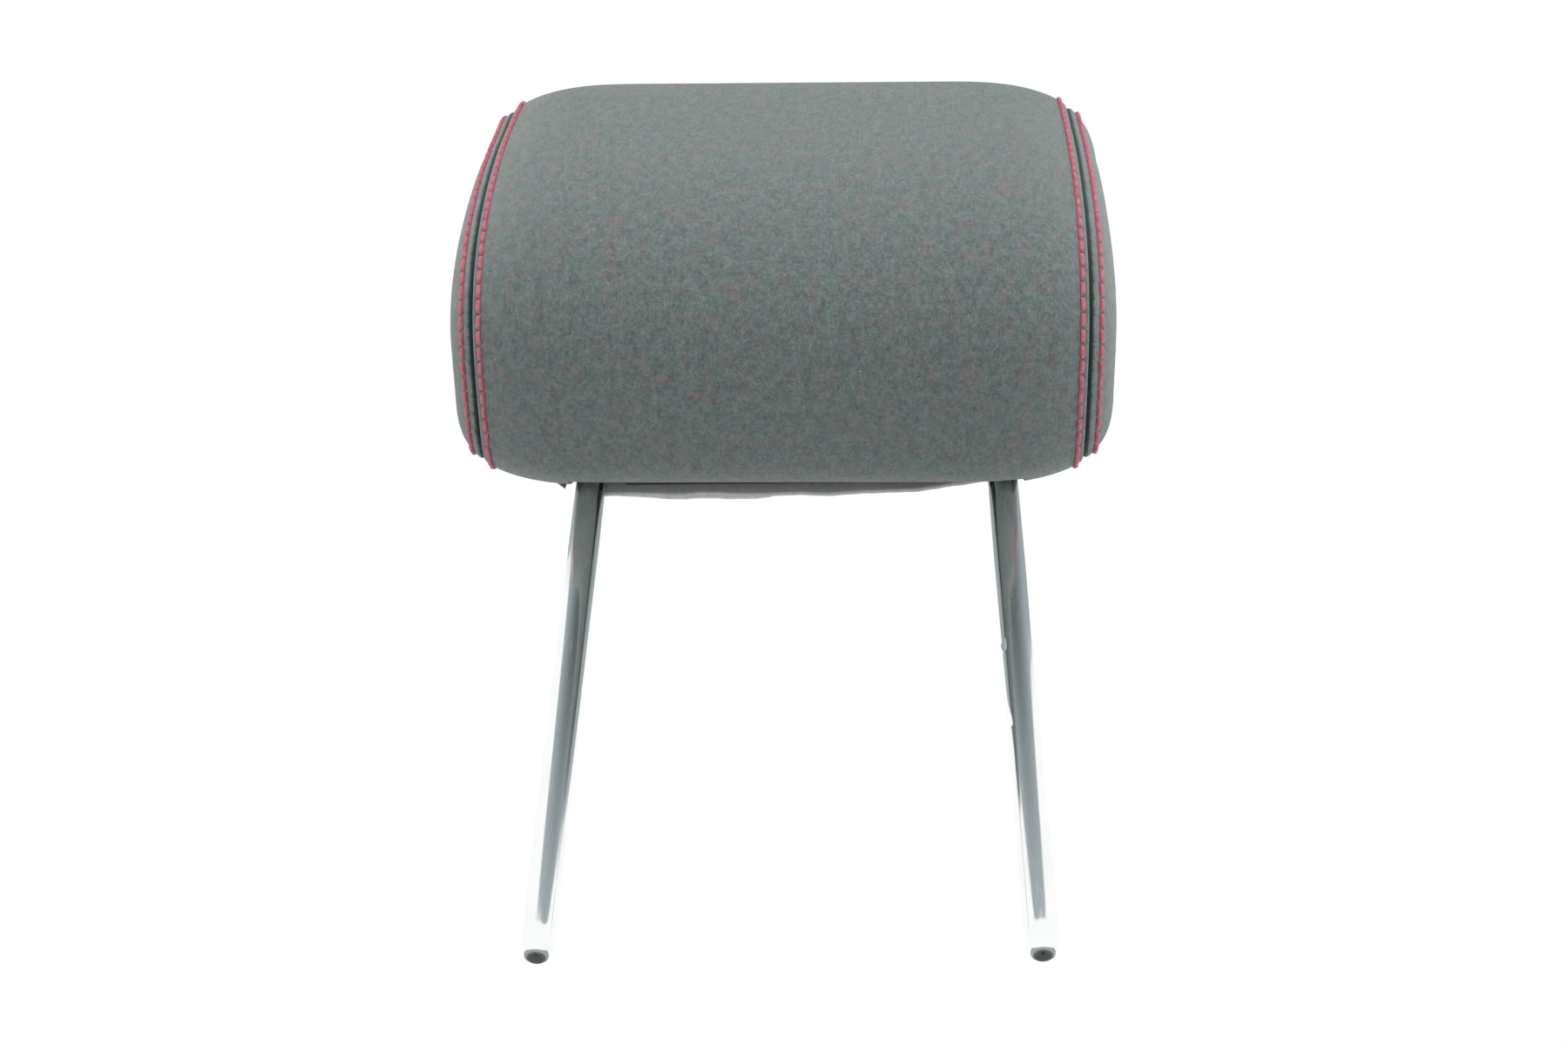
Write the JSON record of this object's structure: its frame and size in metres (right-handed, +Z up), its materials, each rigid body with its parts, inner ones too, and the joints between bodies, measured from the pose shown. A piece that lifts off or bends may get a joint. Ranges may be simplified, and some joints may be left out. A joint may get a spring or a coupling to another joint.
{
  "type": "car headrest",
  "caption": "Padded cloth car headrest with topstitched side seams on a bent chromed tube whose notched posts slide into the seat back.",
  "frame": {"origin": "midway between the end faces of the two posts", "axes": "+Z up along the posts, -Y the front where the head rests, +X to the right of someone who faces that front"},
  "size_m": [0.269, 0.1325, 0.43],
  "materials": {
    "chrome": "polished chromium plate",
    "zinc_steel": "dull zinc plate",
    "core_plastic": "moulded, matt",
    "strip_plastic": "extruded, satin",
    "foam": "open-cell polyurethane foam",
    "grey_cloth": "fine heathered knit on a foam backing",
    "red_thread": "twisted polyester thread"
  },
  "bodies": {
    "root": {"post_hoop": "chrome", "core_front_shell": "core_plastic", "core_rear_shell": "core_plastic", "core_screw_1": "zinc_steel", "core_screw_2": "zinc_steel", "core_screw_3": "zinc_steel", "core_screw_4": "zinc_steel", "foam_pad": "foam", "cover_centre_panel": "grey_cloth", "cover_left_panel": "grey_cloth", "cover_right_panel": "grey_cloth", "closure_front_strip": "strip_plastic", "closure_rear_strip": "strip_plastic", "closure_hem": "grey_cloth", "closure_tuck": "grey_cloth", "stitch_left_inner": "red_thread", "stitch_left_outer": "red_thread", "stitch_right_inner": "red_thread", "stitch_right_outer": "red_thread"}
  },
  "joints": []
}
